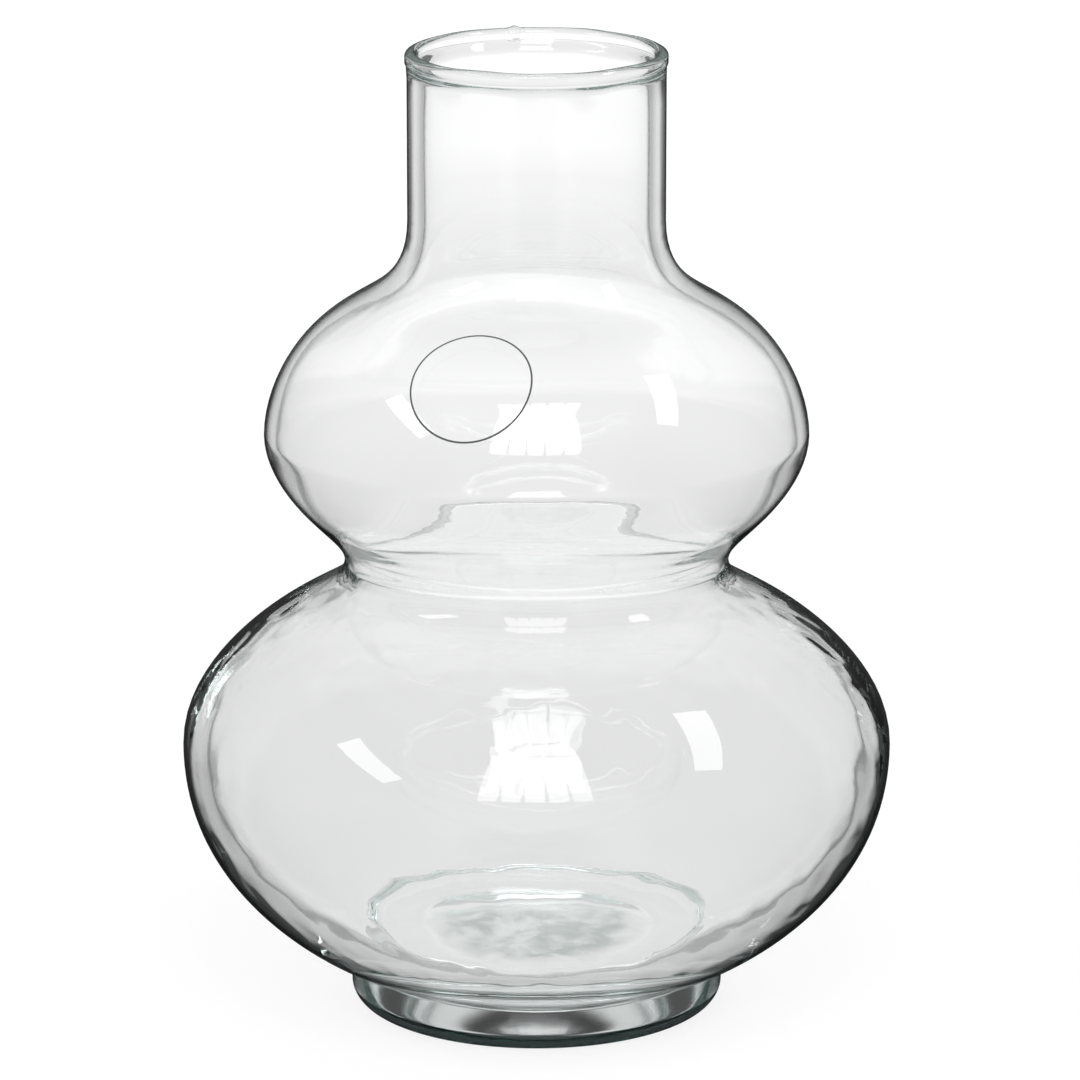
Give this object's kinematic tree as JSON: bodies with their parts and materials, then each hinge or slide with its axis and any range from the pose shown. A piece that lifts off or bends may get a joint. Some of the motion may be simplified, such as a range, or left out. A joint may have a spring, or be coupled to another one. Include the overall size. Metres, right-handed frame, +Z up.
{
  "type": "double gourd vase",
  "caption": "Clear blown glass vase with a squat lower bulb, a smaller upper bulb, a straight open neck, a low round foot and a round clear label, for flowers in water.",
  "frame": {"origin": "on the surface that the vase stands on, under its axis", "axes": "+Z up along the vase's axis to its mouth, -Y towards the front, where the label is"},
  "size_m": [0.1898, 0.1898, 0.2607],
  "materials": {
    "clear_glass": "smooth, clear, faintly green-grey",
    "label_adhesive": "clear",
    "label_film": "clear, glossy",
    "label_ink": "matt grey print"
  },
  "bodies": {
    "root": {"vessel_body": "clear_glass", "foot": "clear_glass", "lip_wrap": "clear_glass", "label_adhesive": "label_adhesive", "label_film": "label_film", "label_print": "label_ink"}
  },
  "joints": []
}
